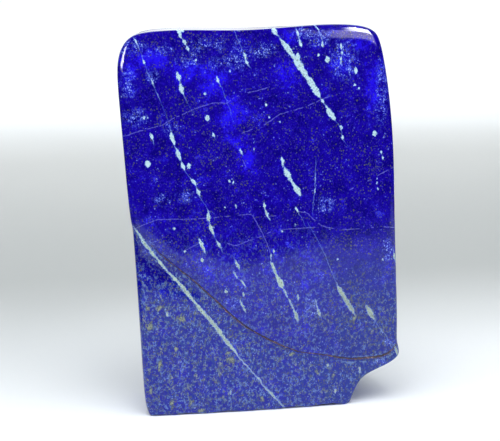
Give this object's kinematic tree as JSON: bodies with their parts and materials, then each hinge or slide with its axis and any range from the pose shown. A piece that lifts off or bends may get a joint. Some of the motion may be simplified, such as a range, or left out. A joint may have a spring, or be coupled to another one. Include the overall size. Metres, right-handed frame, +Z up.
{
  "type": "polished lapis lazuli freeform",
  "caption": "Standing freeform slab of polished deep blue lapis lazuli with calcite veins, rounded edges, a notched lower corner and a flat cut base.",
  "frame": {"origin": "middle of the footprint of the bounding box, on the surface that the stone stands on", "axes": "+Z up, along the stone's height; the veined front face looks towards -Y; +X to the right as the front is seen"},
  "size_m": [0.1316, 0.0396, 0.1793],
  "materials": {
    "polished_lapis": "high polish over deep ultramarine blue, with white calcite veins and fine brassy pyrite flecks"
  },
  "bodies": {
    "root": {"lapis_stone": "polished_lapis"}
  },
  "joints": []
}
